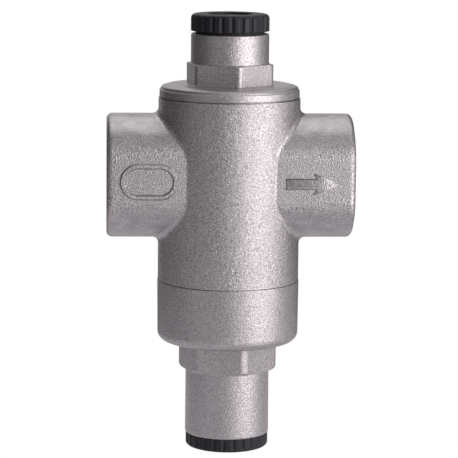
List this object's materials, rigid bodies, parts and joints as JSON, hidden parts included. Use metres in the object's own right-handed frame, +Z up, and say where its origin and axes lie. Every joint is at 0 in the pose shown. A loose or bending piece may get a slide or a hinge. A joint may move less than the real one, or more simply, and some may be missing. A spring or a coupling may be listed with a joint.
{
  "type": "pressure reducing valve",
  "caption": "In-line piston pressure reducing valve: barrel body with two opposed female ports, hex bonnet with ribbed plug, spring housing with ribbed cap.",
  "frame": {"origin": "centre of the inlet port's end face, on the axis of the two ports", "axes": "+X the direction of flow, out of the outlet port; +Z up the spindle axis towards the gauge plug; -Y the front, with the flow arrow"},
  "size_m": [0.0526, 0.0306, 0.094],
  "materials": {
    "nickel_casting": "shot-blasted and nickel plated, matt grain",
    "black_plastic": "moulded, satin",
    "black_rubber": "moulded rubber",
    "stainless_steel": "turned, fine lathe marks",
    "turned_brass": "turned, fine lathe marks",
    "white_ptfe": "turned, waxy",
    "spring_steel": "drawn wire, lightly oiled"
  },
  "bodies": {
    "housing": {"valve_body": "nickel_casting", "bonnet": "nickel_casting", "spring_housing": "nickel_casting", "seat_ring": "stainless_steel", "seat_seal": "black_rubber", "bonnet_seal": "black_rubber", "housing_seal": "black_rubber", "spring": "spring_steel"},
    "piston_group": {"piston": "turned_brass", "piston_seal": "black_rubber", "piston_guide_ring": "white_ptfe", "shutter_gasket": "black_rubber", "shutter_holder": "turned_brass", "balancing_guide": "turned_brass", "balancing_seal": "black_rubber"},
    "spring_carrier": {"spring_plate": "stainless_steel", "thrust_washer": "white_ptfe"},
    "adjuster": {"adjusting_screw": "turned_brass"},
    "cap_seal_carrier": {"adjuster_cap_seal": "black_rubber"},
    "bottom_cap": {"adjuster_cap": "black_plastic"},
    "plug_seal_carrier": {"gauge_plug_seal": "black_rubber"},
    "top_plug": {"gauge_plug": "black_plastic"}
  },
  "joints": [
    {"name": "piston_lift", "type": "slide", "parent": "housing", "child": "piston_group", "axis": [0, 0, 1], "range_m": [-0.0022, 0], "stiffness_N_per_m": 8000, "springref_m": 0.004, "deforming": ["spring"]},
    {"name": "adjuster_travel", "type": "slide", "parent": "housing", "child": "spring_carrier", "axis": [0, 0, 1], "range_m": [0, 0.005], "deforming": ["spring"]},
    {"name": "adjuster_turn", "type": "hinge", "parent": "spring_carrier", "child": "adjuster", "pos_m": [0.0263, 0, -0.049], "axis": [0, 0, 1], "range_deg": [0, 1800]},
    {"name": "cap_travel", "type": "slide", "parent": "housing", "child": "cap_seal_carrier", "axis": [0, 0, -1], "range_m": [0, 0.006]},
    {"name": "cap_turn", "type": "hinge", "parent": "cap_seal_carrier", "child": "bottom_cap", "pos_m": [0.0263, 0, -0.058], "axis": [0, 0, -1], "range_deg": [0, 2160]},
    {"name": "plug_travel", "type": "slide", "parent": "housing", "child": "plug_seal_carrier", "axis": [0, 0, 1], "range_m": [0, 0.00936]},
    {"name": "plug_turn", "type": "hinge", "parent": "plug_seal_carrier", "child": "top_plug", "pos_m": [0.0263, 0, 0.033], "axis": [0, 0, 1], "range_deg": [0, 2520]}
  ],
  "couplings": [
    {"joint": "adjuster_turn", "follows": "adjuster_travel", "rad_per_m": 6283.2},
    {"joint": "cap_turn", "follows": "cap_travel", "rad_per_m": 6283.2},
    {"joint": "plug_turn", "follows": "plug_travel", "rad_per_m": 4699.5}
  ]
}
